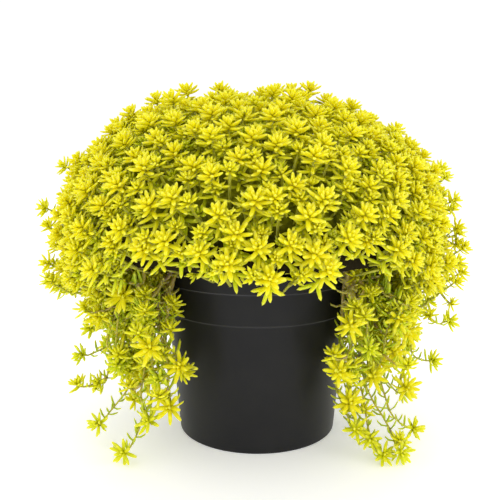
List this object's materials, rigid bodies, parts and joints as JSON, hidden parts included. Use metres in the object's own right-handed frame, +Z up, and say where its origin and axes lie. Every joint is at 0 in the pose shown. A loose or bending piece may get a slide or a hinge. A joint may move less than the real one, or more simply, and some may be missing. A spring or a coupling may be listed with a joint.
{
  "type": "potted sedum",
  "caption": "Round black plastic nursery pot with a dome of golden needle-leaved sedum, whose leafy stems trail over the rim on both sides.",
  "frame": {"origin": "centre of the pot's foot, on the surface that the pot stands on", "axes": "+Z up along the pot's axis, -Y towards the front that the picture shows, +X to its right"},
  "size_m": [0.3748, 0.3691, 0.2988],
  "materials": {
    "black_plastic": "satin",
    "potting_mix": "matte",
    "golden_foliage": "satin",
    "trailing_foliage": "satin"
  },
  "bodies": {
    "root": {"pot": "black_plastic", "soil": "potting_mix", "sedum_bush": "golden_foliage", "trail_left_back": "trailing_foliage", "trail_left_side": "trailing_foliage", "trail_left_near": "trailing_foliage", "trail_left_front": "trailing_foliage", "trail_right_back": "trailing_foliage", "trail_right_side": "trailing_foliage", "trail_right_near": "trailing_foliage", "trail_right_front": "trailing_foliage"}
  },
  "joints": []
}
